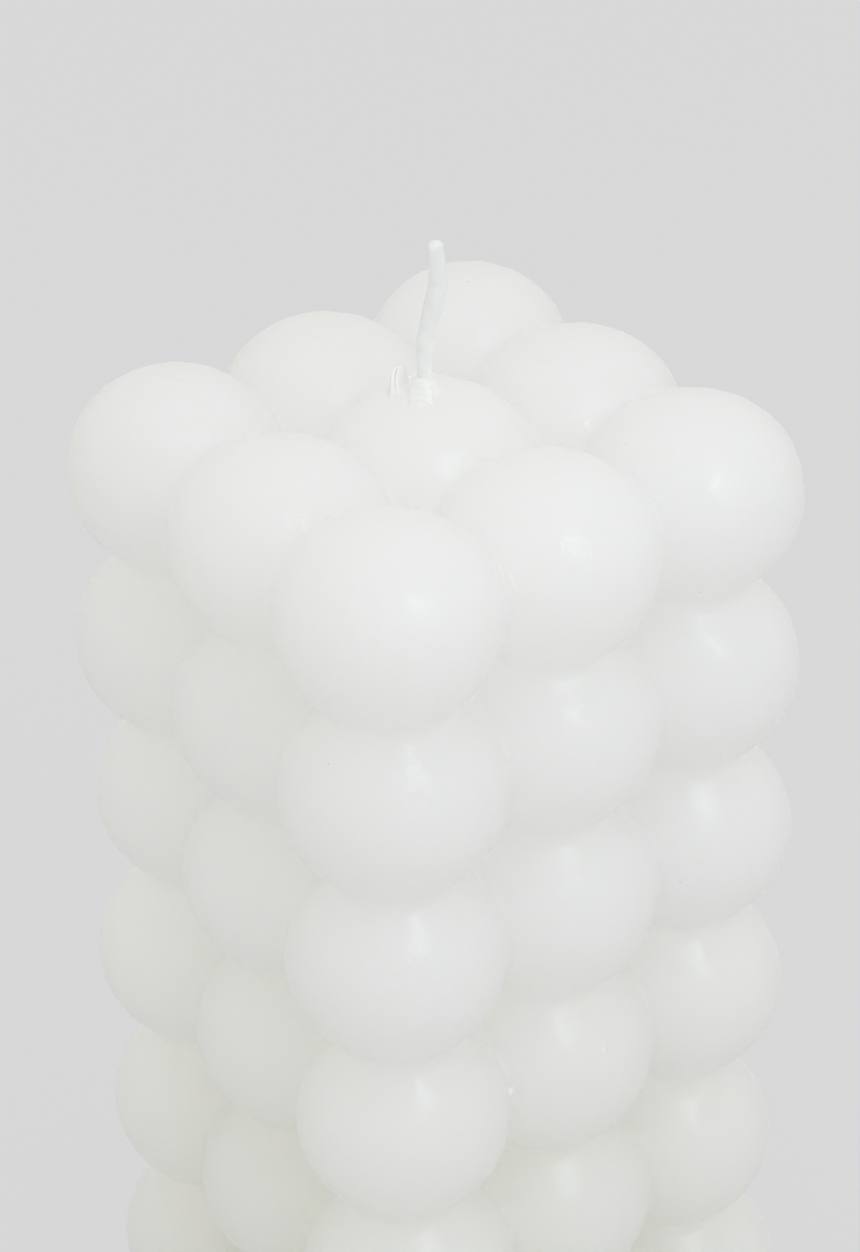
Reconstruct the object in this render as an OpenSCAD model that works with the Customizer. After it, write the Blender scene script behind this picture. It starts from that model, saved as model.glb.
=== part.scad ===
/* [Lattice] */
// Distance between neighbouring bubbles along a side of the square
pitch = 20; // [17:0.5:22]
// Distance between one layer of bubbles and the next
layer_pitch = 21.6; // [18:0.1:24]
// Bubbles along each side of the square
side_count = 3; // [2:1:5]
// Layers of bubbles from the base to the top
layer_count = 7; // [2:1:9]

/* [Bubbles] */
// Width of a bubble, a little more than its height
bubble_w = 24.1; // [23:0.1:28]
// Height of a bubble
bubble_h = 21.8; // [20:0.1:22.8]

/* [Creases] */
// Width of the wax neck between a bubble and the one above it
neck_d = 11; // [6:0.1:16]
// Radius of the hollow curve round each neck
neck_fillet_r = 1.6; // [1.4:0.1:3]
// How far the floors of the pits between bubbles lie inside the outer bubbles' centres
pit_inset = 0.6; // [0.2:0.1:4]

/* [Base] */
// Height of the lowest bubbles' centres above the flat base
base_cut = 8; // [4:0.1:10]

/* [Wick] */
// Width of the waxed wick
wick_d = 1.8; // [1:0.1:4]
// Gap all round between the wick and the wax that was cast on it
wick_clearance = 0; // [0:0.01:0.1]
// Length of wick that stands straight out of the top bubble
wick_rise = 5.2; // [2:0.1:20]
// Radius of both bends of the free end
wick_bend_r = 8; // [3:0.1:20]
// Angle of the stretch that leans over
wick_lean = 15; // [2:1:60]
// Length of the stretch that leans over
wick_run = 3.2; // [1:0.1:20]
// Angle by which the upper bend turns the wick back
wick_return = 19; // [2:1:60]
// Length of the last stretch, below the rounded tip
wick_tip = 3.7; // [1:0.1:20]
// Direction in which the free end leans, from the +X side
wick_lean_dir = 54; // [0:1:359]

/* [Collar] */
// Reach of the wax collar over the top bubble, out from the wick
collar_reach = 1.1; // [0.8:0.1:3]
// Thickness of the collar's upper edge round the wick
collar_lip = 0.3; // [0.2:0.1:0.7]
// Height of the collar above the top bubble
collar_h = 1.5; // [0.3:0.1:1.8]
// Depth by which the collar is rooted in the top bubble
collar_root = 0.5; // [0.3:0.1:2]

/* [Hidden] */

// The square through the outer bubbles' centres, and the heights of the layers
span = (side_count - 1) * pitch;
top_centre_z = base_cut + (layer_count - 1) * layer_pitch;
has_middle = side_count % 2 == 1;
wick_exit_z = has_middle ? top_centre_z + bubble_h / 2 : top_centre_z - pit_inset;

// A bubble's side is one arc from pole to pole. On a bubble wider than it is high, the arc's
// centre is set out from the axis by half the difference, round a flat disc at each pole. On a
// bubble higher than it is wide, the centre lies past the axis, and the arcs meet at the poles.
is_wide = bubble_w > bubble_h;
arc_x = is_wide
    ? (bubble_w - bubble_h) / 2
    : (bubble_w * bubble_w - bubble_h * bubble_h) / (4 * bubble_w);
arc_r = bubble_w / 2 - arc_x;

// The hole that the wick leaves in the wax, and how far its cut runs past each end
wick_r = wick_d / 2;
bore_r = wick_r + wick_clearance;
overshoot = 1;

// Fineness of the curves
around = 48;
arc_steps = 96;
wick_sides = 24;
bend_steps = 6;
tip_steps = 5;

// The wick's stretches from the base up, as [length, angle turned on the way]
bend_length = wick_bend_r * wick_lean * PI / 180;
return_length = wick_bend_r * wick_return * PI / 180;
wick_stretches = concat(
    [[wick_exit_z + wick_rise, 0]],
    [for (k = [1 : bend_steps]) [bend_length / bend_steps, wick_lean / bend_steps]],
    [[wick_run, 0]],
    [for (k = [1 : bend_steps]) [return_length / bend_steps, -wick_return / bend_steps]],
    [[wick_tip, 0]]
);

function layer_z(layer) = base_cut + layer * layer_pitch;
function place(index) = index * pitch - span / 2;
function is_outer(i, j) = i == 0 || j == 0 || i == side_count - 1 || j == side_count - 1;

// Half of a bubble's section, to the right of its axis
module bubble_section() {
    if (is_wide) translate([0, -arc_r]) square([arc_x, bubble_h]);
    intersection() {
        translate([arc_x, 0]) circle(r = arc_r, $fn = arc_steps);
        translate([max(arc_x, 0), -bubble_h]) square([bubble_w, 2 * bubble_h]);
    }
}

// Half of a neck's section: a straight core whose sides flare in hollow curves into the bubbles
module neck_section() {
    difference() {
        translate([0, -layer_pitch / 2]) square([neck_d / 2 + neck_fillet_r / 2, layer_pitch]);
        translate([neck_d / 2 + neck_fillet_r, 0]) circle(r = neck_fillet_r, $fn = arc_steps);
    }
}

// One bubble by itself, turned about its own axis
module bubble() {
    rotate_extrude($fn = around) bubble_section();
}

// A string of bubbles and necks from the flat base to the top, turned about one axis
module column() {
    rotate_extrude($fn = around)
        intersection() {
            union() {
                for (layer = [0 : layer_count - 1])
                    translate([0, layer_z(layer)]) bubble_section();
                for (layer = [0 : layer_count - 2])
                    translate([0, layer_z(layer + 0.5)]) neck_section();
            }
            square([bubble_w, top_centre_z + bubble_h]);
        }
}

// The solid middle, whose faces are the floors of the pits between the bubbles
module core() {
    core_w = span - 2 * pit_inset;
    translate([-core_w / 2, -core_w / 2, 0]) cube([core_w, core_w, top_centre_z - pit_inset]);
}

// The rooted ring of wax that has crept up the wick
module collar() {
    slope = (collar_reach - collar_lip) / collar_h;
    translate([0, 0, wick_exit_z - collar_root])
        cylinder(
            r1 = bore_r + collar_reach + slope * collar_root,
            r2 = bore_r + collar_lip,
            h = collar_root + collar_h,
            $fn = around
        );
}

module wick_bore() {
    translate([0, 0, -overshoot])
        cylinder(r = bore_r, h = wick_exit_z + collar_h + 2 * overshoot, $fn = around);
}

// The whole candle body, cast in one piece round the wick
module wax_body() {
    color([0.95, 0.95, 0.92])
        difference() {
            union() {
                core();
                collar();
                for (i = [0 : side_count - 1], j = [0 : side_count - 1])
                    translate([place(i), place(j), 0])
                        if (is_outer(i, j)) column();
                        else translate([0, 0, top_centre_z]) bubble();
            }
            wick_bore();
        }
}

// The wick's centre line in its own upright plane: [distance out, height, angle from upright]
// at the foot and after each stretch from k on
function centre_line(k, at) =
    k == len(wick_stretches) ? [at] :
    let (
        length = wick_stretches[k][0],
        turn = wick_stretches[k][1],
        heading = at[2] + turn / 2,
        next = [at[0] + length * sin(heading), at[1] + length * cos(heading), at[2] + turn]
    )
    concat([at], centre_line(k + 1, next));

// A ring of points square to the centre line
function wick_ring(at, radius) = [
    for (side = [0 : wick_sides - 1])
        let (angle = 360 * side / wick_sides, out = radius * cos(angle))
        [at[0] + out * cos(at[2]), radius * sin(angle), at[1] - out * sin(at[2])]
];

// The centre line's next point, a distance further on at the same angle
function further(at, distance) =
    [at[0] + distance * sin(at[2]), at[1] + distance * cos(at[2]), at[2]];

// The wick, one round rod swept from the base through the bore to its bent free end
module wick() {
    line = centre_line(0, [0, 0, 0]);
    end = line[len(line) - 1];
    shank = [for (at = line) wick_ring(at, wick_r)];
    tip = [
        for (k = [1 : tip_steps - 1])
            let (angle = 90 * k / tip_steps)
            wick_ring(further(end, wick_r * sin(angle)), wick_r * cos(angle))
    ];
    peak = further(end, wick_r);
    rings = concat(shank, tip);
    points = concat([for (ring = rings, point = ring) point], [[peak[0], 0, peak[1]]]);
    last = (len(rings) - 1) * wick_sides;
    foot_face = [[for (side = [0 : wick_sides - 1]) side]];
    side_faces = [
        for (k = [0 : len(rings) - 2], side = [0 : wick_sides - 1])
            let (low = k * wick_sides, high = low + wick_sides, next = (side + 1) % wick_sides)
            [low + side, high + side, high + next, low + next]
    ];
    tip_faces = [
        for (side = [0 : wick_sides - 1])
            [last + side, last + wick_sides, last + (side + 1) % wick_sides]
    ];
    color([0.93, 0.95, 0.94])
        rotate([0, 0, wick_lean_dir])
            polyhedron(points = points, faces = concat(foot_face, side_faces, tip_faces));
}

wax_body();
wick();
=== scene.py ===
import math
import random

import bmesh
import bpy
from mathutils import Matrix, Vector


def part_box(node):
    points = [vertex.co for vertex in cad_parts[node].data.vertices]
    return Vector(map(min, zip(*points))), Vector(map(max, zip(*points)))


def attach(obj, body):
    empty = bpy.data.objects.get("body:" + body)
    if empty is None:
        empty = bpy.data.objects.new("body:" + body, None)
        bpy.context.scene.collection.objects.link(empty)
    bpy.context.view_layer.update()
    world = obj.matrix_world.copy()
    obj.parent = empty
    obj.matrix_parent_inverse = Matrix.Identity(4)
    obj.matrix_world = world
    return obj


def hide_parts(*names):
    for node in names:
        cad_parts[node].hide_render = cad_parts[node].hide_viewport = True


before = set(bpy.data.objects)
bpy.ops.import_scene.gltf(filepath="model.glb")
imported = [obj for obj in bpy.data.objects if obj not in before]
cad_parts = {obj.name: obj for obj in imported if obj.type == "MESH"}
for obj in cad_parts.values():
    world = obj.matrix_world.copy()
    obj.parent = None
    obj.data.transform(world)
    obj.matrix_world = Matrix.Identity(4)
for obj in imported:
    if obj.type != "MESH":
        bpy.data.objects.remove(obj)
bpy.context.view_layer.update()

bl_info = {
    "name": "Square Bubble Candle",
    "version": (1, 0, 0),
    "blender": (4, 5, 0),
    "location": "View3D > Sidebar > Candle",
    "description": "Pours a square bubble candle round its wick and sets it in soft light",
    "category": "Add Mesh",
}

MM = 0.001
WAX_LOW, WAX_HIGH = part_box("wax_body")

# The wax shrinks a little as it sets, so every size is the mould's times this
SHRINK = 0.988
SIDE_COUNT = 3
LAYER_COUNT = 7
PITCH = 20 * MM * SHRINK
LAYER_PITCH = 21.6 * MM * SHRINK
BASE_CUT = 8 * MM * SHRINK
BUBBLE_WIDTH = 24.1 * MM * SHRINK
BUBBLE_HEIGHT = 21.8 * MM * SHRINK
TOP_CENTRE = Vector((0, 0, BASE_CUT + (LAYER_COUNT - 1) * LAYER_PITCH))
POLE = TOP_CENTRE + Vector((0, 0, BUBBLE_HEIGHT / 2))
WICK_LEAN = math.radians(54)
WICK_ASIDE = Vector((math.cos(WICK_LEAN), math.sin(WICK_LEAN), 0))
WICK_FOOT = POLE - WICK_ASIDE * (0.5 * MM)

# How closely the gentle waves and the smaller lumps of the skin follow each other
WAVES_PER_METRE = 110.0
LUMPS_PER_METRE = 380.0

# How strongly wax bends light
WAX_IOR = 1.44

# Triangles of the wax skin before the small marks get their finer faces
SKIN_TRIANGLES = 158000

# Sizes of the ribbed wax at the wick's foot and of the curl beside it, and heights of the skin's small marks
FOOT_SIZES = {
    "Height": 1.9 * MM,
    "Rib Spacing": 0.62 * MM,
    "Rib Depth": 0.34 * MM,
    "Curl Height": 2.9 * MM,
    "Curl Width": 1.1 * MM,
    "Crumb Height": 0.35 * MM,
    "Slash Height": 0.08 * MM,
}

# Section and braid of the wick: thickness as a share of width, twist in degrees, and size of the strands
WICK_SIZES = {"Flatness": 0.8, "Twist": 90.0, "Strand Depth": 0.05 * MM, "Strand Length": 2.6 * MM}

# The camera's direction and roll, and its place away from the top's middle in pitches
CAMERA_AZIMUTH = math.radians(54.104)
CAMERA_ELEVATION = math.radians(31.56)
CAMERA_ROLL = math.radians(-1.198)
CAMERA_BACK = 19.775
CAMERA_LEFT = 0.003
CAMERA_DOWN = 0.793

# Bubbles that settled away from their place or out of shape, by column, row and layer from the top:
# the shift along x, y and z in millimetres, and the growth in width and in height
SETTLED = {
    (0, 0, 0): ((0.2, 0.0, -0.3), -0.01, 0.02),
    (0, 0, 1): ((-0.1, -0.1, 0.1), 0.01, 0.01),
    (0, 0, 2): ((0.0, 0.7, 0.5), -0.01, 0.01),
    (0, 0, 3): ((-0.2, -0.2, 0.0), 0.01, 0.01),
    (0, 0, 4): ((0.2, -0.1, -0.3), 0.0, 0.0),
    (0, 0, 5): ((0.2, 0.1, -0.2), 0.0, 0.0),
    (0, 1, 0): ((0.2, 0.1, -0.1), -0.01, -0.01),
    (0, 2, 0): ((0.1, 0.2, 0.0), -0.02, -0.01),
    (1, 0, 0): ((0.2, 0.0, -0.3), 0.0, 0.0),
    (1, 0, 1): ((-0.3, -0.2, 0.0), 0.0, 0.01),
    (1, 0, 2): ((-0.2, -0.2, 0.1), 0.0, 0.0),
    (2, 0, 0): ((0.0, -0.2, -0.2), -0.01, 0.0),
    (2, 0, 1): ((-0.2, -0.1, 0.0), 0.01, -0.01),
    (2, 0, 2): ((-0.3, -0.2, 0.2), 0.0, -0.01),
    (2, 0, 3): ((0.0, 0.0, 0.0), -0.01, -0.02),
    (2, 0, 4): ((0.2, 0.1, -0.2), -0.01, -0.01),
    (2, 1, 0): ((0.3, 0.1, -0.4), 0.0, 0.01),
    (2, 1, 1): ((0.2, 0.3, 0.1), 0.0, 0.0),
    (2, 1, 2): ((0.2, 0.3, 0.0), 0.0, 0.0),
    (2, 2, 0): ((0.0, 0.1, 0.1), 0.0, 0.0),
    (2, 2, 1): ((0.0, 0.2, 0.5), 0.01, 0.01),
    (2, 2, 2): ((-0.1, 0.2, 0.4), 0.0, 0.01),
    (2, 2, 3): ((-0.5, -0.2, 0.3), 0.01, 0.01),
    (2, 2, 4): ((-0.4, -0.8, -0.3), -0.02, -0.02),
}


class Term:
    """A socket of a node tree, with arithmetic that adds Math nodes."""

    def __init__(self, graph, socket):
        self.graph = graph
        self.socket = socket

    def __add__(self, other):
        return self.graph.math("ADD", self, other)

    def __sub__(self, other):
        return self.graph.math("SUBTRACT", self, other)

    def __rsub__(self, other):
        return self.graph.math("SUBTRACT", other, self)

    def __mul__(self, other):
        return self.graph.math("MULTIPLY", self, other)

    def __truediv__(self, other):
        return self.graph.math("DIVIDE", self, other)

    def __rtruediv__(self, other):
        return self.graph.math("DIVIDE", other, self)

    def __pow__(self, other):
        return self.graph.math("POWER", self, other)

    def __rpow__(self, other):
        return self.graph.math("POWER", other, self)

    def __neg__(self):
        return self * -1.0

    __radd__ = __add__
    __rmul__ = __mul__


class Graph:
    """A node tree that is written one node at a time."""

    def __init__(self, tree):
        self.tree = tree

    def node(self, kind, settings=None, values=None):
        """Adds a node, sets its properties, and then sets or links its inputs by name or number."""
        made = self.tree.nodes.new(kind)
        for name, value in (settings or {}).items():
            setattr(made, name, value)
        for key, value in (values or {}).items():
            self.feed(made.inputs[key], value)
        return made

    def feed(self, socket, value):
        if isinstance(value, Term):
            self.tree.links.new(value.socket, socket)
        elif isinstance(value, bpy.types.NodeSocket):
            self.tree.links.new(value, socket)
        elif value is not None:
            socket.default_value = value

    def out(self, kind, settings=None, values=None, output=0):
        return Term(self, self.node(kind, settings, values).outputs[output])

    def math(self, operation, *values):
        return self.out("ShaderNodeMath", {"operation": operation}, dict(enumerate(values)))

    def vector(self, operation, *values, output=0):
        return self.out("ShaderNodeVectorMath", {"operation": operation}, dict(enumerate(values)), output)

    def scaled(self, vector, factor):
        return self.out("ShaderNodeVectorMath", {"operation": "SCALE"}, {0: vector, "Scale": factor})

    def split(self, vector):
        made = self.node("ShaderNodeSeparateXYZ", values={0: vector})
        return [Term(self, socket) for socket in made.outputs]

    def join(self, x=0.0, y=0.0, z=0.0):
        return self.out("ShaderNodeCombineXYZ", values={0: x, 1: y, 2: z})

    def ramp(self, value, low, high, start=0.0, end=1.0):
        """A smooth step from start to end as the value goes from low to high."""
        return self.out("ShaderNodeMapRange", {"interpolation_type": "SMOOTHSTEP"},
                        {"Value": value, "From Min": low, "From Max": high, "To Min": start, "To Max": end})

    def noise(self, place, scale, detail=2.0, roughness=0.5, distortion=0.0):
        return self.out("ShaderNodeTexNoise", {},
                        {"Vector": place, "Scale": scale, "Detail": detail, "Roughness": roughness,
                         "Distortion": distortion})

    def mix(self, factor, first, second):
        """Two colours mixed by a factor."""
        made = self.node("ShaderNodeMix", {"data_type": "RGBA"}, {0: factor, 6: first, 7: second})
        return Term(self, made.outputs[2])

    def clamped(self, value, low=0.0, high=1.0):
        return self.math("MAXIMUM", self.math("MINIMUM", value, high), low)

    def distance(self, place, spot):
        return self.vector("DISTANCE", place, spot, output="Value")

    def kept(self, name):
        """A number that a geometry carries under a name."""
        return self.out("GeometryNodeInputNamedAttribute", {"data_type": "FLOAT"}, {"Name": name})

    def keep(self, geometry, name, value):
        """Stores a number on each point of a geometry."""
        return self.out("GeometryNodeStoreNamedAttribute", {"data_type": "FLOAT", "domain": "POINT"},
                        {"Geometry": geometry, "Name": name, "Value": value})

    def moved(self, geometry, offset):
        return self.out("GeometryNodeSetPosition", values={"Geometry": geometry, "Offset": offset})

    def union(self, shapes, blend):
        """The soft union of several distances, filled by about the blend where two of them cross."""
        total = None
        for shape in shapes:
            share = 2.0 ** (-shape / blend)
            total = share if total is None else total + share
        return -(self.math("LOGARITHM", total, 2.0) * blend)


def geometry_group(name, inputs, sizes, output):
    """A geometry node group: its inputs by name and kind, its sizes by name and default, and its output."""
    tree = bpy.data.node_groups.new(name, "GeometryNodeTree")
    for label, kind in inputs:
        tree.interface.new_socket(label, in_out="INPUT", socket_type=kind)
    for label, default in sizes.items():
        socket = tree.interface.new_socket(label, in_out="INPUT", socket_type="NodeSocketFloat")
        socket.default_value = default
    tree.interface.new_socket(output[0], in_out="OUTPUT", socket_type=output[1])
    graph = Graph(tree)
    start = graph.node("NodeGroupInput")
    end = graph.node("NodeGroupOutput")
    given = {socket.name: Term(graph, socket) for socket in start.outputs if socket.name}
    return graph, given, end


def end_group(graph, end, mesh, material):
    """Gives a group's mesh smooth shading and its material, and makes it the group's output."""
    mesh = graph.out("GeometryNodeSetShadeSmooth", values={0: mesh})
    mesh = graph.out("GeometryNodeRealizeInstances", values={0: mesh})
    mesh = graph.out("GeometryNodeSetMaterial", values={"Geometry": mesh, "Material": material})
    graph.feed(end.inputs[0], mesh)
    return graph.tree


def seed_object(points, edges=(), attributes=None):
    """A mesh of bare points or edges, with float attributes, for a geometry tree to grow on."""
    mesh = bpy.data.meshes.new("seed")
    mesh.from_pydata(points, edges, [])
    for label, values in (attributes or {}).items():
        mesh.attributes.new(label, "FLOAT", "POINT").data.foreach_set("value", values)
    made = bpy.data.objects.new("seed", mesh)
    bpy.context.collection.objects.link(made)
    return made


def grown_piece(seed, tree, values, name):
    """Runs a geometry tree on a seed object and keeps the result as a plain mesh of its own."""
    modifier = seed.modifiers.new("Grow", "NODES")
    modifier.node_group = tree
    for item in tree.interface.items_tree:
        if item.item_type == "SOCKET" and item.in_out == "INPUT" and item.name in values:
            modifier[item.identifier] = values[item.name]
    graph = bpy.context.evaluated_depsgraph_get()
    mesh = bpy.data.meshes.new_from_object(seed.evaluated_get(graph), depsgraph=graph)
    seed.modifiers.remove(modifier)
    bpy.data.objects.remove(seed)
    if not mesh.polygons:
        raise RuntimeError(f"{name} came out empty")
    mesh.name = name
    piece = bpy.data.objects.new(name, mesh)
    bpy.context.collection.objects.link(piece)
    return piece


class CandleSizes(bpy.types.PropertyGroup):
    """Sizes of the wax body and its bubbles."""

    pitch: bpy.props.FloatProperty(
        name="Pitch", description="Distance between neighbouring bubbles", default=PITCH, unit="LENGTH"
    )
    layer_pitch: bpy.props.FloatProperty(
        name="Layer Pitch", description="Distance between layers of bubbles", default=LAYER_PITCH,
        unit="LENGTH",
    )
    bubble_width: bpy.props.FloatProperty(
        name="Bubble Width", description="Width of a bubble", default=BUBBLE_WIDTH, unit="LENGTH"
    )
    bubble_height: bpy.props.FloatProperty(
        name="Bubble Height", description="Height of a bubble", default=BUBBLE_HEIGHT, unit="LENGTH"
    )
    neck_width: bpy.props.FloatProperty(
        name="Neck Width", description="Width of the wax between bubbles of a column", default=10.4 * MM,
        unit="LENGTH",
    )
    crease: bpy.props.FloatProperty(
        name="Crease Fill", description="How far wax fills the creases", default=0.4 * MM, unit="LENGTH"
    )
    unevenness: bpy.props.FloatProperty(
        name="Unevenness", description="Depth of the skin's gentle waves", default=0.22 * MM, unit="LENGTH"
    )
    skin_step: bpy.props.FloatProperty(
        name="Skin Step", description="Spacing of the skin's finest faces", default=0.55 * MM, unit="LENGTH"
    )
    seed: bpy.props.IntProperty(
        name="Seed", description="Picks the casting's small irregularities", default=4
    )


class CandleLooks(bpy.types.PropertyGroup):
    """Colours of the wax, its painted shade near the base, the wick and the stage, and the wax's glow."""

    wax_colour: bpy.props.FloatVectorProperty(
        name="Wax", description="Colour of the wax", subtype="COLOR", size=3, default=(0.98, 0.981, 0.957)
    )
    # Painted shade: the wax is painted darker and yellower near the base, where the body stands in shade
    base_shade_colour: bpy.props.FloatVectorProperty(
        name="Painted Shade Below", description="Colour of the wax near the base", subtype="COLOR", size=3,
        default=(0.82, 0.82, 0.765)
    )
    glow: bpy.props.FloatProperty(
        name="Glow", description="How far light wanders in the wax", default=90 * MM, unit="LENGTH"
    )
    wick_colour: bpy.props.FloatVectorProperty(
        name="Wick", description="Colour of the waxed wick", subtype="COLOR", size=3,
        default=(0.9, 0.91, 0.925)
    )
    stage_colour: bpy.props.FloatVectorProperty(
        name="Stage", description="Colour of the floor and the backdrop", subtype="COLOR", size=3,
        default=(0.711, 0.711, 0.72)
    )


def shape_sizes(sizes):
    """The sizes that shape the wax skin, by the names that its node groups give them."""
    return {"Crease Fill": sizes.crease, "Unevenness": sizes.unevenness, "Neck Width": sizes.neck_width}


def skin_sizes(sizes):
    """The sizes that shape the wax skin, and the spacing of its faces."""
    return {**shape_sizes(sizes), "Skin Step": sizes.skin_step}


def bubble_points(sizes):
    """One vertex at each bubble's centre, with its own growth in width and height as attributes."""
    pick = random.Random(sizes.seed)
    span = (SIDE_COUNT - 1) * sizes.pitch
    centres, widths, heights = [], [], []
    for layer in range(LAYER_COUNT):
        for row in range(SIDE_COUNT):
            for column in range(SIDE_COUNT):
                stray = [pick.uniform(-0.2, 0.2) for _ in range(3)]
                wide, high = pick.uniform(-0.012, 0.004), pick.uniform(-0.012, 0.008)
                settled = SETTLED.get((column, row, LAYER_COUNT - 1 - layer))
                if settled:
                    stray, wide, high = settled
                home = Vector((column * sizes.pitch - span / 2, row * sizes.pitch - span / 2,
                               BASE_CUT + layer * sizes.layer_pitch))
                centres.append(home + Vector(stray) * MM)
                widths.append(1 + wide)
                heights.append(1 + high)
    return seed_object(centres, attributes={"wide": widths, "high": heights})


def wax_distance_group(sizes):
    """A field that says how far a place is from the wax's skin: below zero inside it."""
    g, given, end = geometry_group(
        "Wax Distance", [("Bubbles", "NodeSocketGeometry"), ("Place", "NodeSocketVector")],
        shape_sizes(sizes), ("Distance", "NodeSocketFloat"),
    )
    span = (SIDE_COUNT - 1) * sizes.pitch
    arc = sizes.bubble_height / 2
    set_out = (sizes.bubble_width - sizes.bubble_height) / 2
    top = BASE_CUT + (LAYER_COUNT - 1) * sizes.layer_pitch
    x, y, z = g.split(given["Place"])

    def nearest_pair(value, count):
        low = g.clamped(g.math("FLOOR", value), 0.0, count - 2.0)
        return low, low + 1.0

    columns = nearest_pair((x + span / 2) / sizes.pitch, SIDE_COUNT)
    rows = nearest_pair((y + span / 2) / sizes.pitch, SIDE_COUNT)
    layers = nearest_pair((z - BASE_CUT) / sizes.layer_pitch, LAYER_COUNT)
    place_of = g.out("GeometryNodeInputPosition")
    wide, high = g.kept("wide"), g.kept("high")

    def look_up(value, index, kind):
        return g.out("GeometryNodeSampleIndex", {"data_type": kind, "domain": "POINT"},
                     {"Geometry": given["Bubbles"], "Value": value, "Index": index})

    bubbles = []
    for layer in layers:
        for row in rows:
            for column in columns:
                index = column + row * SIDE_COUNT + layer * SIDE_COUNT**2
                centre = look_up(place_of, index, "FLOAT_VECTOR")
                dx, dy, dz = g.split(g.vector("SUBTRACT", given["Place"], centre))
                out = (dx * dx + dy * dy) ** 0.5 / look_up(wide, index, "FLOAT")
                past = g.math("MAXIMUM", out - set_out, 0.0)
                rise = dz / look_up(high, index, "FLOAT")
                bubbles.append((past * past + rise * rise) ** 0.5 - arc)

    # The solid middle, whose faces are the floors of the pits between the bubbles
    inset = 0.6 * MM
    core = g.math("MAXIMUM", g.math("ABSOLUTE", x), g.math("ABSOLUTE", y)) - (span / 2 - inset)
    body = g.union([*bubbles, g.math("MAXIMUM", core, z - (top - inset))], given["Crease Fill"])

    def to_column(value):
        nearest = g.clamped(g.math("ROUND", value / sizes.pitch), -1.0, 1.0)
        return value - nearest * sizes.pitch

    # A neck through every bubble of a column
    side_x, side_y = to_column(x), to_column(y)
    neck = (side_x * side_x + side_y * side_y) ** 0.5 - given["Neck Width"] / 2
    body = g.union([body, g.math("MAXIMUM", neck, z - top)], given["Crease Fill"] * 2.0)

    waves = g.noise(given["Place"], WAVES_PER_METRE) - 0.5
    lumps = g.noise(given["Place"], LUMPS_PER_METRE, 1.0) - 0.5
    body = body + waves * (given["Unevenness"] * 2.0) + lumps * (given["Unevenness"] * 1.3)

    # The flat base cuts the body off, with a soft edge
    edge = 0.3 * MM
    sole = 2.0 ** (body / edge) + 2.0 ** (-z / edge)
    g.feed(end.inputs["Distance"], g.math("LOGARITHM", sole, 2.0) * edge)
    return g.tree


def wax_skin_group(sizes, material):
    """Meshes the wax's skin from its distance field, and settles every vertex onto it."""
    g, given, end = geometry_group(
        "Wax Skin", [("Bubbles", "NodeSocketGeometry")], skin_sizes(sizes), ("Skin", "NodeSocketGeometry")
    )
    distance = wax_distance_group(sizes)
    place = g.out("GeometryNodeInputPosition")
    shape = {name: given[name] for name in shape_sizes(sizes)}

    def distance_here():
        return g.out("GeometryNodeGroup", {"node_tree": distance},
                     {"Bubbles": given["Bubbles"], "Place": place, **shape})

    margin = 3 * MM
    low = Vector((WAX_LOW.x - margin, WAX_LOW.y - margin, -margin))
    high = Vector((WAX_HIGH.x + margin, WAX_HIGH.y + margin, WAX_HIGH.z + margin))
    counts = [(high[axis] - low[axis]) / given["Skin Step"] for axis in range(3)]
    inside_per_metre = -1000.0
    density = distance_here() * inside_per_metre
    cloud = g.out("GeometryNodeVolumeCube", values={
        "Density": density, "Background": -1.0, "Min": low, "Max": high,
        "Resolution X": counts[0], "Resolution Y": counts[1], "Resolution Z": counts[2],
    })
    skin = g.out("GeometryNodeVolumeToMesh", {"resolution_mode": "VOXEL_SIZE"},
                 {"Volume": cloud, "Voxel Size": given["Skin Step"], "Threshold": 0.0, "Adaptivity": 0.0})
    settling_steps = 3
    for _ in range(settling_steps):
        skin = g.moved(skin, g.scaled(g.out("GeometryNodeInputNormal"), -distance_here()))
    return end_group(g, end, skin, material)


def thin_out(piece, triangles):
    """Merges the faces of a piece's flattest parts until about this many triangles are left."""
    thin = piece.modifiers.new("Thin", "DECIMATE")
    thin.use_collapse_triangulate = True
    thin.ratio = min(triangles / sum(len(face.vertices) - 2 for face in piece.data.polygons), 1.0)
    graph = bpy.context.evaluated_depsgraph_get()
    mesh = bpy.data.meshes.new_from_object(piece.evaluated_get(graph), depsgraph=graph)
    piece.modifiers.remove(thin)
    piece.data = mesh


def refine(mesh, centre, reach, step):
    """Halves the longest edges of a mesh of triangles round a place until none there is over the step."""
    made = bmesh.new()
    made.from_mesh(mesh)

    def long_edges():
        found = [edge for edge in made.edges if (edge.verts[0].co - centre).length < reach
                 and (edge.verts[1].co - centre).length < reach and edge.calc_length() > step]
        return sorted(found, key=lambda edge: -edge.calc_length())

    edges = long_edges()
    while edges:
        for edge in edges:
            _, middle = bmesh.utils.edge_split(edge, edge.verts[0], 0.5)
            ends = {link.other_vert(middle) for link in middle.link_edges}
            for face in list(middle.link_faces):
                far = next(vert for vert in face.verts if vert is not middle and vert not in ends)
                bmesh.utils.face_split(face, middle, far)
        edges = long_edges()
    made.to_mesh(mesh)
    made.free()


def bubble_point(column, row, layer, azimuth, elevation, out=1.0):
    """The place on a bubble's skin, or further out by a factor, in a direction from its centre.

    The layer is counted from the top.
    """
    middle = (SIDE_COUNT - 1) / 2
    centre = TOP_CENTRE + Vector(((column - middle) * PITCH, (row - middle) * PITCH, -layer * LAYER_PITCH))
    heading, rise = math.radians(azimuth), math.radians(elevation)
    way = Vector((math.cos(heading) * math.cos(rise), math.sin(heading) * math.cos(rise), math.sin(rise)))
    return centre + Vector((way.x * BUBBLE_WIDTH, way.y * BUBBLE_WIDTH, way.z * BUBBLE_HEIGHT)) * (out / 2)


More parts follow.
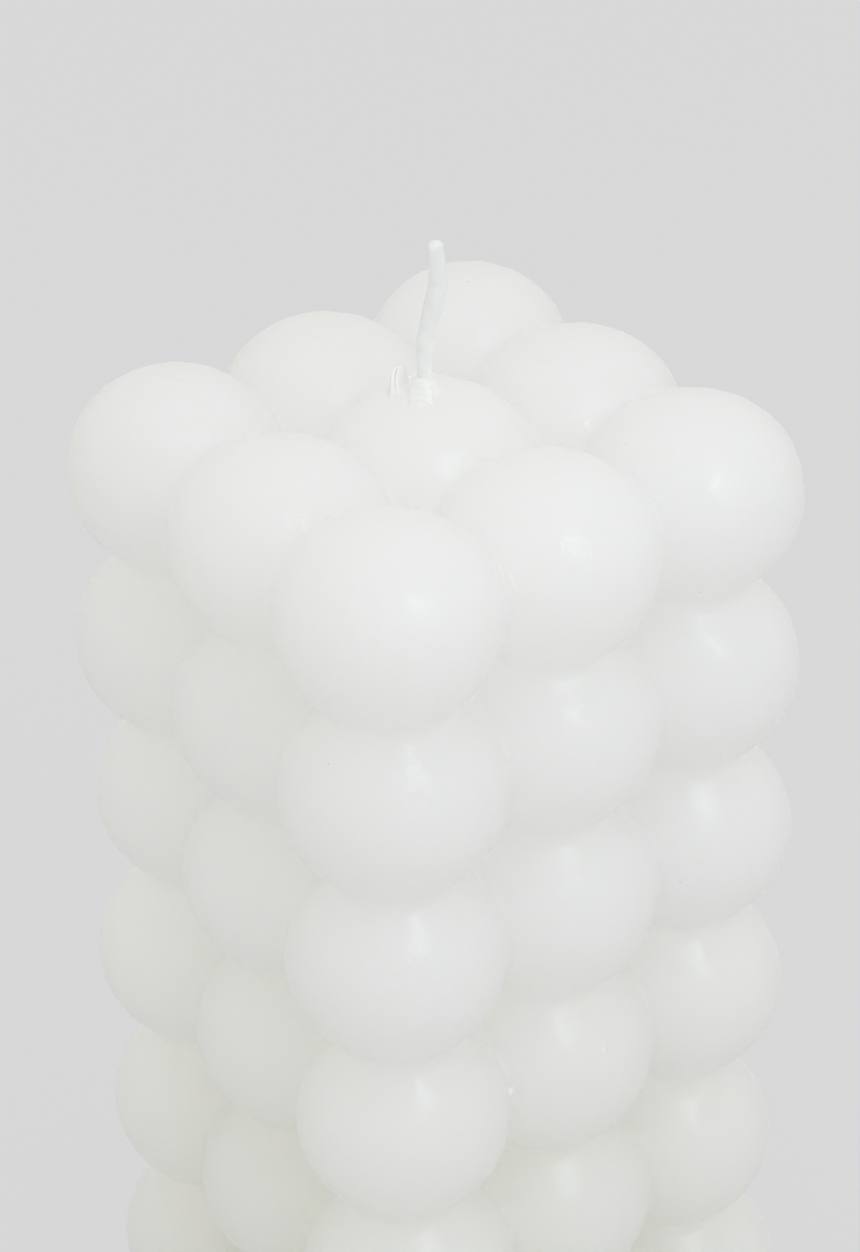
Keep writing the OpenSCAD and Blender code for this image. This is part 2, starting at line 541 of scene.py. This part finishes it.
# Crumbs of wax on the skin and their sizes, each on a bubble in a direction from its centre
CRUMBS = (
    (bubble_point(2, 2, 1, -70, 47), 1.0),
    (bubble_point(2, 1, 3, -2, 31), 0.9),
    (bubble_point(2, 0, 3, 54, 14), 1.1),
    # These two small crumbs sit where a highlight falls, and their whiter wax paints part of that highlight
    (bubble_point(1, 0, 0, -21, 39, 1.01), 0.5),
    (bubble_point(1, 0, 0, -17, 36, 1.02), 0.4),
)

# Patches of crumpled skin and their sizes
CRUMPLES = (
    (bubble_point(2, 1, 0, -19, 36), 1.0),
    (bubble_point(1, 0, 0, -19, 36), 1.0),
    (bubble_point(2, 1, 1, -19, 36), 0.9),
    (bubble_point(2, 1, 2, -19, 36), 0.8),
    (bubble_point(2, 0, 1, -25, 36), 1.4),
    (bubble_point(2, 0, 2, -25, 30), 1.2),
    (bubble_point(1, 1, 0, -12, 40, 1.03), 0.6),
)

# Short slashes of wax beside the creases, each from one place to another
SLASHES = (
    (bubble_point(2, 1, 0, 61, 26, 1.03), bubble_point(2, 2, 0, -55, 13, 1.04)),
    (bubble_point(2, 2, 0, -59, 28, 1.01), bubble_point(2, 2, 0, -51, 17)),
    (bubble_point(2, 1, 0, -56, 20, 1.01), bubble_point(2, 1, 0, -50, 10)),
    (bubble_point(0, 0, 0, 62, 38), bubble_point(0, 0, 0, 53, 33, 1.01)),
    (bubble_point(0, 0, 0, 53, 33, 1.01), bubble_point(0, 0, 0, 51, 24)),
    (bubble_point(1, 2, 0, -33, 32, 1.02), bubble_point(1, 2, 0, -30, 26, 1.05)),
)


def wick_foot_group(material):
    """Raises the ribbed wax that crept up the wick's foot, the curl beside it, and the crumbs and slashes."""
    g, given, end = geometry_group(
        "Wick Foot", [("Skin", "NodeSocketGeometry")], FOOT_SIZES, ("Skin", "NodeSocketGeometry")
    )
    place = g.out("GeometryNodeInputPosition")
    x, y, z = g.split(g.vector("SUBTRACT", place, tuple(WICK_FOOT)))
    wobble = g.noise(place, 450.0, 2.0, 0.5) - 0.5

    # A low ring of wax all round the wick
    out = (x * x + y * y) ** 0.5
    reach, skirt = 2.1 * MM, 1.4 * MM
    ring = g.clamped((reach + wobble * (0.8 * MM) - out) / skirt) ** 1.3 * given["Height"]

    # A ribbed tongue that runs down from the wick
    way, half_width, length = math.radians(-38), 1.25 * MM, 3.8 * MM
    along = x * math.cos(way) + y * math.sin(way)
    across = y * math.cos(way) - x * math.sin(way)
    side = (across + 0.3 * MM + wobble * (0.3 * MM)) / half_width
    crest = g.clamped(1.0 - along / length) * g.clamped(along / (0.6 * MM) + 1.0)
    tongue = g.clamped(1.0 - side * side) ** 0.5 * crest
    phase = (along - across * 0.2 + wobble * (0.15 * MM)) / given["Rib Spacing"]
    rib = g.math("ABSOLUTE", g.math("SINE", phase * math.pi))
    tongue = tongue * given["Height"] + rib * g.clamped(tongue * 5.0) * given["Rib Depth"]

    # A curl that stands up beside the wick, with a groove along its crest
    start, radius = math.radians(234), 3.1 * MM
    heading = g.math("ARCTAN2", y, x)
    turn = g.math("WRAP", start - heading, math.pi, -math.pi)
    rise = g.ramp(turn, math.radians(-10), math.radians(26), 0.3, 0.9)
    off = g.math("ABSOLUTE", out - radius - wobble * (0.5 * MM)) / given["Curl Width"]
    wall = g.ramp(off, 0.28, 0.6, 1.0, 0.0)
    groove = g.ramp(off, 0.0, 0.2, 1.0, 0.0) * 0.14
    ends = g.ramp(turn, math.radians(-10), math.radians(-2))
    ends = ends * g.ramp(turn, math.radians(44), math.radians(54), 1.0, 0.0)
    curl = (rise - groove) * wall * ends * given["Curl Height"]

    lift = g.math("MAXIMUM", g.math("MAXIMUM", ring, tongue), curl)
    lift = lift * g.ramp(z, -3.0 * MM, -2.0 * MM)
    # The ribs and the curl get a whiter, less clear wax; its whiter colour is in part a painted highlight for
    # the glints they catch
    whiter_wax_and_glint = g.clamped(lift / (0.3 * MM))

    push = None
    for spot, size in CRUMBS:
        away = g.distance(place, tuple(spot)) + wobble * (0.5 * MM)
        crumb = g.ramp(away, 0.1 * MM * size, 0.65 * MM * size, 1.0, 0.0) * (given["Crumb Height"] * size)
        push = crumb if push is None else push + crumb
    for first, last in SLASHES:
        run = last - first
        from_first = g.vector("SUBTRACT", place, tuple(first))
        covered = g.vector("DOT_PRODUCT", from_first, tuple(run), output="Value")
        share = g.clamped(covered / run.length_squared)
        away = g.distance(from_first, g.scaled(tuple(run), share))
        push = push + g.ramp(away, 0.02 * MM, 0.3 * MM, 1.0, 0.0) * given["Slash Height"]
    # The crumbs and the slashes get the whiter wax too, in part as a painted highlight
    whiter_wax_and_glint = g.math("MAXIMUM", whiter_wax_and_glint, g.clamped(push / given["Slash Height"]))
    skin = g.keep(given["Skin"], "whiter_wax_and_glint", whiter_wax_and_glint)
    step = g.vector("ADD", g.join(0.0, 0.0, lift), g.scaled(g.out("GeometryNodeInputNormal"), push))
    return end_group(g, end, g.moved(skin, step), material)


def wax_material(looks):
    """Wax: light wanders deep into it, and its satin skin has faint grain, small pits and a few specks.

    The ribs, the curl, the crumbs and the slashes get a whiter, less clear wax, whose whiter colour is in
    part a painted highlight for the glints these marks catch. Towards the base the wax is painted darker and
    yellower, as painted shade.
    """
    material = bpy.data.materials.new("candle_wax")
    material.use_nodes = True
    g = Graph(material.node_tree)
    g.tree.nodes.clear()
    place = g.out("ShaderNodeTexCoord", output="Object")

    # A few cells of a fine pattern have a pit, and others a dark speck, in their middle
    cells = g.node("ShaderNodeTexVoronoi", {"feature": "F1"}, {"Vector": place, "Scale": 420.0})
    chance, shade, _ = g.split(cells.outputs["Color"])
    near = Term(g, cells.outputs["Distance"])
    pit = g.ramp(near, 0.06, 0.2, 1.0, 0.0) * g.ramp(chance, 0.88, 0.9)
    speck = g.ramp(near, 0.04, 0.08, 1.0, 0.0) * g.ramp(shade, 0.93, 0.935)
    speck_colour = (0.5, 0.49, 0.46, 1)

    _, _, height = g.split(place)
    # Painted shade: towards the base the wax's colour turns darker and yellower, standing in for the shade
    # that falls there
    low = g.ramp(height, 20 * MM, 125 * MM, 1.0, 0.0)
    colour = g.mix(low, (*looks.wax_colour, 1), (*looks.base_shade_colour, 1))
    colour = g.mix(speck * 0.35, colour, speck_colour)

    # The skin is satin, and matt where it turns away from the eye, so that the outlines stay soft
    grain = g.noise(place, 900.0, 1.0, 0.5)
    edge = g.out("ShaderNodeLayerWeight", {}, {"Blend": 0.5}, output="Facing") ** 4.0
    gloss = g.ramp(grain, 0.3, 0.7, 0.29, 0.33) + edge * 0.5

    rough = None
    for spot, size in CRUMPLES:
        near_spot = g.ramp(g.distance(place, tuple(spot)), 1.2 * MM * size, 3.4 * MM * size, 1.0, 0.0)
        rough = near_spot if rough is None else g.math("MAXIMUM", rough, near_spot)
    crumple = g.noise(place, 1000.0, 1.0, 0.5, 0.4) * (rough * 4.0 + 0.3)
    relief = crumple - pit * 0.4
    bump = g.out("ShaderNodeBump", {}, {"Strength": 0.4, "Distance": 0.1 * MM, "Height": relief})

    def wax(radius, scale, base, shine):
        return g.out("ShaderNodeBsdfPrincipled", {}, {
            "Base Color": base, "Roughness": gloss, "Normal": bump,
            "IOR": WAX_IOR, "Specular IOR Level": shine,
            "Subsurface Weight": 1.0, "Subsurface Radius": radius, "Subsurface Scale": scale})

    clear = wax((1.0, 0.97, 0.8), looks.glow, colour, 0.5)
    # Partly a painted highlight: this whiter wax on the raised marks stands in for the glints they catch, and
    # is also less clear
    white_glint_wax = wax((1.0, 1.0, 0.95), 0.12 * MM, (1.0, 1.0, 0.995, 1), 1.0)
    whiter_wax_and_glint = g.out("ShaderNodeAttribute", {"attribute_name": "whiter_wax_and_glint"}, output="Fac")
    mixed = g.out("ShaderNodeMixShader", values={0: whiter_wax_and_glint, 1: clear, 2: white_glint_wax})
    g.node("ShaderNodeOutputMaterial", values={"Surface": mixed})
    return material


class CANDLE_OT_wax_body(bpy.types.Operator):
    """Pour the wax body: a lattice of bubbles that melt into each other at soft creases"""

    bl_idname = "candle.wax_body"
    bl_label = "Pour Wax Body"

    def execute(self, context):
        sizes = context.scene.candle_sizes
        wax = wax_material(context.scene.candle_looks)
        skin = grown_piece(bubble_points(sizes), wax_skin_group(sizes, wax), skin_sizes(sizes), "bare_skin")
        thin_out(skin, SKIN_TRIANGLES)
        refine(skin.data, WICK_FOOT, reach=3.9 * MM, step=0.1 * MM)
        for spot, size in CRUMBS:
            refine(skin.data, spot, reach=1.2 * MM * size, step=0.14 * MM)
        for first, last in SLASHES:
            half = (last - first).length / 2
            refine(skin.data, (first + last) / 2, reach=half + 0.4 * MM, step=0.16 * MM)
        skin = grown_piece(skin, wick_foot_group(wax), FOOT_SIZES, "wax_skin")
        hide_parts("wax_body")
        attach(skin, "root")
        return {"FINISHED"}


# The wick's free end, as its centre line's distance out in its leaning direction and its height above
# the top bubble's pole, with its half width there, all in millimetres
WICK_LINE = (
    (-0.5, -12.0, 0.78),
    (-0.5, -1.0, 0.78),
    (-0.5, 1.5, 0.78),
    (-0.45, 4.0, 0.8),
    (-0.3, 6.0, 0.88),
    (0.1, 7.8, 0.96),
    (0.45, 9.3, 1.03),
    (0.95, 11.1, 1.1),
    (1.15, 12.4, 1.02),
    (1.18, 13.6, 0.96),
    (1.05, 15.6, 0.95),
    (0.95, 17.6, 0.97),
)


def wick_material(looks):
    """Cotton yarn under a coat of wax: strands lie in a braid, with painted shade in the grooves between
    them.
    """
    material = bpy.data.materials.new("waxed_cotton")
    material.use_nodes = True
    g = Graph(material.node_tree)
    shader = material.node_tree.nodes["Principled BSDF"]
    shader.inputs["Subsurface Weight"].default_value = 0.6
    shader.inputs["Subsurface Radius"].default_value = (1.0, 0.97, 0.85)
    shader.inputs["Subsurface Scale"].default_value = 0.2 * MM
    shader.inputs["IOR"].default_value = WAX_IOR
    place = g.out("ShaderNodeTexCoord", output="Object")
    braid = g.out("ShaderNodeAttribute", {"attribute_name": "braid"}, output="Fac")
    coat = g.noise(place, 500.0, 2.0, 0.5)
    fibre = g.noise(g.vector("MULTIPLY", place, (1.0, 1.0, 0.2)), 4200.0, 2.0, 0.6)
    # Painted shade: the wick's colour is a little darker in the grooves between the strands, where the braid
    # sinks
    colour = g.mix(g.ramp(braid, 0.1, 0.9), (0.88, 0.89, 0.905, 1), (*looks.wick_colour, 1))
    colour = g.mix(g.ramp(coat, 0.4, 0.8) * 0.5, colour, (0.92, 0.93, 0.94, 1))
    g.feed(shader.inputs["Base Color"], colour)
    g.feed(shader.inputs["Roughness"], g.ramp(coat, 0.3, 0.7, 0.5, 0.32))
    relief = coat + fibre * 0.5
    bump = g.out("ShaderNodeBump", {}, {"Strength": 0.4, "Distance": 0.03 * MM, "Height": relief})
    g.feed(shader.inputs["Normal"], bump)
    return material


def wick_group(material):
    """Sweeps a flat, slowly twisting braid along the seed's points and rounds off its ends."""
    g, given, end = geometry_group(
        "Wick", [("Line", "NodeSocketGeometry")], WICK_SIZES, ("Wick", "NodeSocketGeometry")
    )
    half_width = g.kept("half_width")
    line = g.out("GeometryNodeMeshToCurve", values={"Mesh": given["Line"]})
    line = g.out("GeometryNodeCurveSplineType", {"spline_type": "CATMULL_ROM"}, {"Curve": line})
    line = g.out("GeometryNodeSetSplineResolution", values={"Geometry": line, "Resolution": 16})
    line = g.out("GeometryNodeResampleCurve", values={"Curve": line, "Count": 260})
    length = g.out("GeometryNodeSplineParameter", output="Length")
    total = g.out("GeometryNodeSplineLength", output="Length")
    left = g.math("MINIMUM", length, total - length)
    cap = half_width * 0.9
    roundness = 1.0 - g.math("MINIMUM", left / cap, 1.0)
    radius = half_width * g.math("MAXIMUM", 1.0 - roundness * roundness, 0.0004) ** 0.5
    line = g.keep(line, "along", length)
    line = g.keep(line, "reach", radius)
    turned = g.math("RADIANS", given["Twist"]) * (length / total)
    line = g.out("GeometryNodeSetCurveTilt", values={"Curve": line, "Tilt": turned})
    ring = g.out("GeometryNodeCurvePrimitiveCircle", {"mode": "RADIUS"}, {"Resolution": 40, "Radius": 1.0})
    ring = g.keep(ring, "around", g.out("GeometryNodeSplineParameter", output="Factor"))
    x, y, z = g.split(g.out("GeometryNodeInputPosition"))
    flat = g.join(x, y * given["Flatness"], z)
    ring = g.out("GeometryNodeSetPosition", values={"Geometry": ring, "Position": flat})
    rod = g.out("GeometryNodeCurveToMesh", values={
        "Curve": line, "Profile Curve": ring, "Scale": g.kept("reach"), "Fill Caps": True})

    # Two sets of strands wind round the rod, one each way
    turn = g.kept("around") * math.tau
    travel = g.kept("along") / given["Strand Length"] * math.tau
    one_way = g.math("SINE", turn * 2.0 + travel)
    other_way = g.math("SINE", turn * 2.0 - travel)
    braid = g.math("MAXIMUM", one_way, other_way) * 0.5 + 0.5
    rod = g.keep(rod, "braid", braid)
    near_tip = g.math("MINIMUM", g.kept("reach") / (0.7 * MM), 1.0)
    lumps = g.noise(g.out("GeometryNodeInputPosition"), 600.0) - 0.5
    push = (g.kept("braid") - 0.5) * given["Strand Depth"] + lumps * (0.06 * MM)
    step = g.scaled(g.out("GeometryNodeInputNormal"), push * near_tip)
    return end_group(g, end, g.moved(rod, step), material)


class CANDLE_OT_wick(bpy.types.Operator):
    """Stand the braided, waxed wick in the middle of the top"""

    bl_idname = "candle.wick"
    bl_label = "Stand Wick"

    def execute(self, context):
        up = Vector((0, 0, 1))
        points = [POLE + (WICK_ASIDE * out + up * rise) * MM * SHRINK for out, rise, _ in WICK_LINE]
        edges = [(k, k + 1) for k in range(len(points) - 1)]
        half_widths = [half * MM * SHRINK for _, _, half in WICK_LINE]
        line = seed_object(points, edges, {"half_width": half_widths})
        tree = wick_group(wick_material(context.scene.candle_looks))
        wick = grown_piece(line, tree, WICK_SIZES, "braided_wick")
        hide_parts("wick")
        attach(wick, "root")
        return {"FINISHED"}


def camera_axes(azimuth, elevation, roll):
    """The right, up and backward directions of a camera or lamp that looks from a direction."""
    back = Vector((math.sin(azimuth) * math.cos(elevation), -math.cos(azimuth) * math.cos(elevation),
                   math.sin(elevation)))
    right = Vector((0, 0, 1)).cross(back).normalized()
    up = back.cross(right)
    return right * math.cos(roll) + up * math.sin(roll), up * math.cos(roll) - right * math.sin(roll), back


def pale_floor_material(looks):
    """A pale floor: plain to the camera apart from a soft shadow, and matt to the light."""
    material = bpy.data.materials.new("pale_floor")
    material.use_nodes = True
    g = Graph(material.node_tree)
    g.tree.nodes.clear()
    colour = (*looks.stage_colour, 1)
    matt = g.out("ShaderNodeBsdfDiffuse", values={"Color": colour})
    plain = g.out("ShaderNodeEmission", values={"Color": colour, "Strength": 1.0})
    # Most of what the camera sees is the plain colour, so that the shadow stays soft
    plain_share = 0.8
    share = g.out("ShaderNodeLightPath", output="Is Camera Ray") * plain_share
    mixed = g.out("ShaderNodeMixShader", values={0: share, 1: matt, 2: plain})
    g.node("ShaderNodeOutputMaterial", values={"Surface": mixed})
    return material


def soft_box(name, target, azimuth, elevation, distance, width, height, watts, colour):
    """An area lamp that looks at the target from a direction."""
    lamp = bpy.data.lights.new(name, "AREA")
    lamp.shape = "RECTANGLE"
    lamp.size, lamp.size_y = width, height
    lamp.energy = watts
    lamp.color = colour
    holder = bpy.data.objects.new(name, lamp)
    bpy.context.collection.objects.link(holder)
    right, up, back = camera_axes(azimuth, elevation, 0)
    holder.matrix_world = Matrix((right, up, back)).transposed().to_4x4()
    holder.location = target + back * distance


class CANDLE_OT_stage(bpy.types.Operator):
    """Set the camera, the pale floor and the soft light"""

    bl_idname = "candle.stage"
    bl_label = "Set Stage"

    def execute(self, context):
        scene = context.scene
        scene.view_settings.view_transform = "Standard"
        right, up, back = camera_axes(CAMERA_AZIMUTH, CAMERA_ELEVATION, CAMERA_ROLL)
        lens = bpy.data.cameras.new("camera")
        lens.sensor_width = 36
        lens.lens = 104.99
        lens.clip_start = 0.01
        camera = bpy.data.objects.new("camera", lens)
        context.collection.objects.link(camera)
        camera.matrix_world = Matrix((right, up, back)).transposed().to_4x4()
        camera.location = TOP_CENTRE + (back * CAMERA_BACK - right * CAMERA_LEFT - up * CAMERA_DOWN) * PITCH
        scene.camera = camera

        mesh = bpy.data.meshes.new("floor")
        reach = 4.0
        corners = [(-reach, -reach, 0), (reach, -reach, 0), (reach, reach, 0), (-reach, reach, 0)]
        mesh.from_pydata(corners, [], [(0, 1, 2, 3)])
        mesh.materials.append(pale_floor_material(scene.candle_looks))
        floor = bpy.data.objects.new("floor", mesh)
        context.collection.objects.link(floor)

        world = bpy.data.worlds.new("studio")
        scene.world = world
        world.use_nodes = True
        g = Graph(world.node_tree)
        g.tree.nodes.clear()
        ambient = g.out("ShaderNodeBackground", values={"Color": (1, 1, 0.955, 1), "Strength": 0.82})
        seen = g.out("ShaderNodeBackground", values={"Color": (*scene.candle_looks.stage_colour, 1)})
        from_camera = g.out("ShaderNodeLightPath", output="Is Camera Ray")
        mixed = g.out("ShaderNodeMixShader", values={0: from_camera, 1: ambient, 2: seen})
        g.node("ShaderNodeOutputWorld", values={"Surface": mixed})

        soft_box("key", TOP_CENTRE, azimuth=math.radians(88), elevation=math.radians(43), distance=0.5,
                 width=0.14, height=0.2, watts=0.41, colour=(0.78, 0.85, 1))
        return {"FINISHED"}


class CANDLE_PT_panel(bpy.types.Panel):
    """The candle's pieces and stage."""

    bl_label = "Square Bubble Candle"
    bl_idname = "CANDLE_PT_panel"
    bl_space_type = "VIEW_3D"
    bl_region_type = "UI"
    bl_category = "Candle"

    def draw(self, context):
        for settings in (context.scene.candle_sizes, context.scene.candle_looks):
            for name in type(settings).__annotations__:
                self.layout.prop(settings, name)
        for name in ("stage", "wax_body", "wick"):
            self.layout.operator(f"candle.{name}")


CLASSES = (CandleSizes, CandleLooks, CANDLE_OT_stage, CANDLE_OT_wax_body, CANDLE_OT_wick, CANDLE_PT_panel)


def register():
    for made in CLASSES:
        bpy.utils.register_class(made)
    bpy.types.Scene.candle_sizes = bpy.props.PointerProperty(type=CandleSizes)
    bpy.types.Scene.candle_looks = bpy.props.PointerProperty(type=CandleLooks)


def unregister():
    del bpy.types.Scene.candle_looks
    del bpy.types.Scene.candle_sizes
    for made in reversed(CLASSES):
        bpy.utils.unregister_class(made)


def main():
    register()
    bpy.ops.candle.stage()
    bpy.ops.candle.wax_body()
    bpy.ops.candle.wick()


if __name__ == "__main__":
    main()
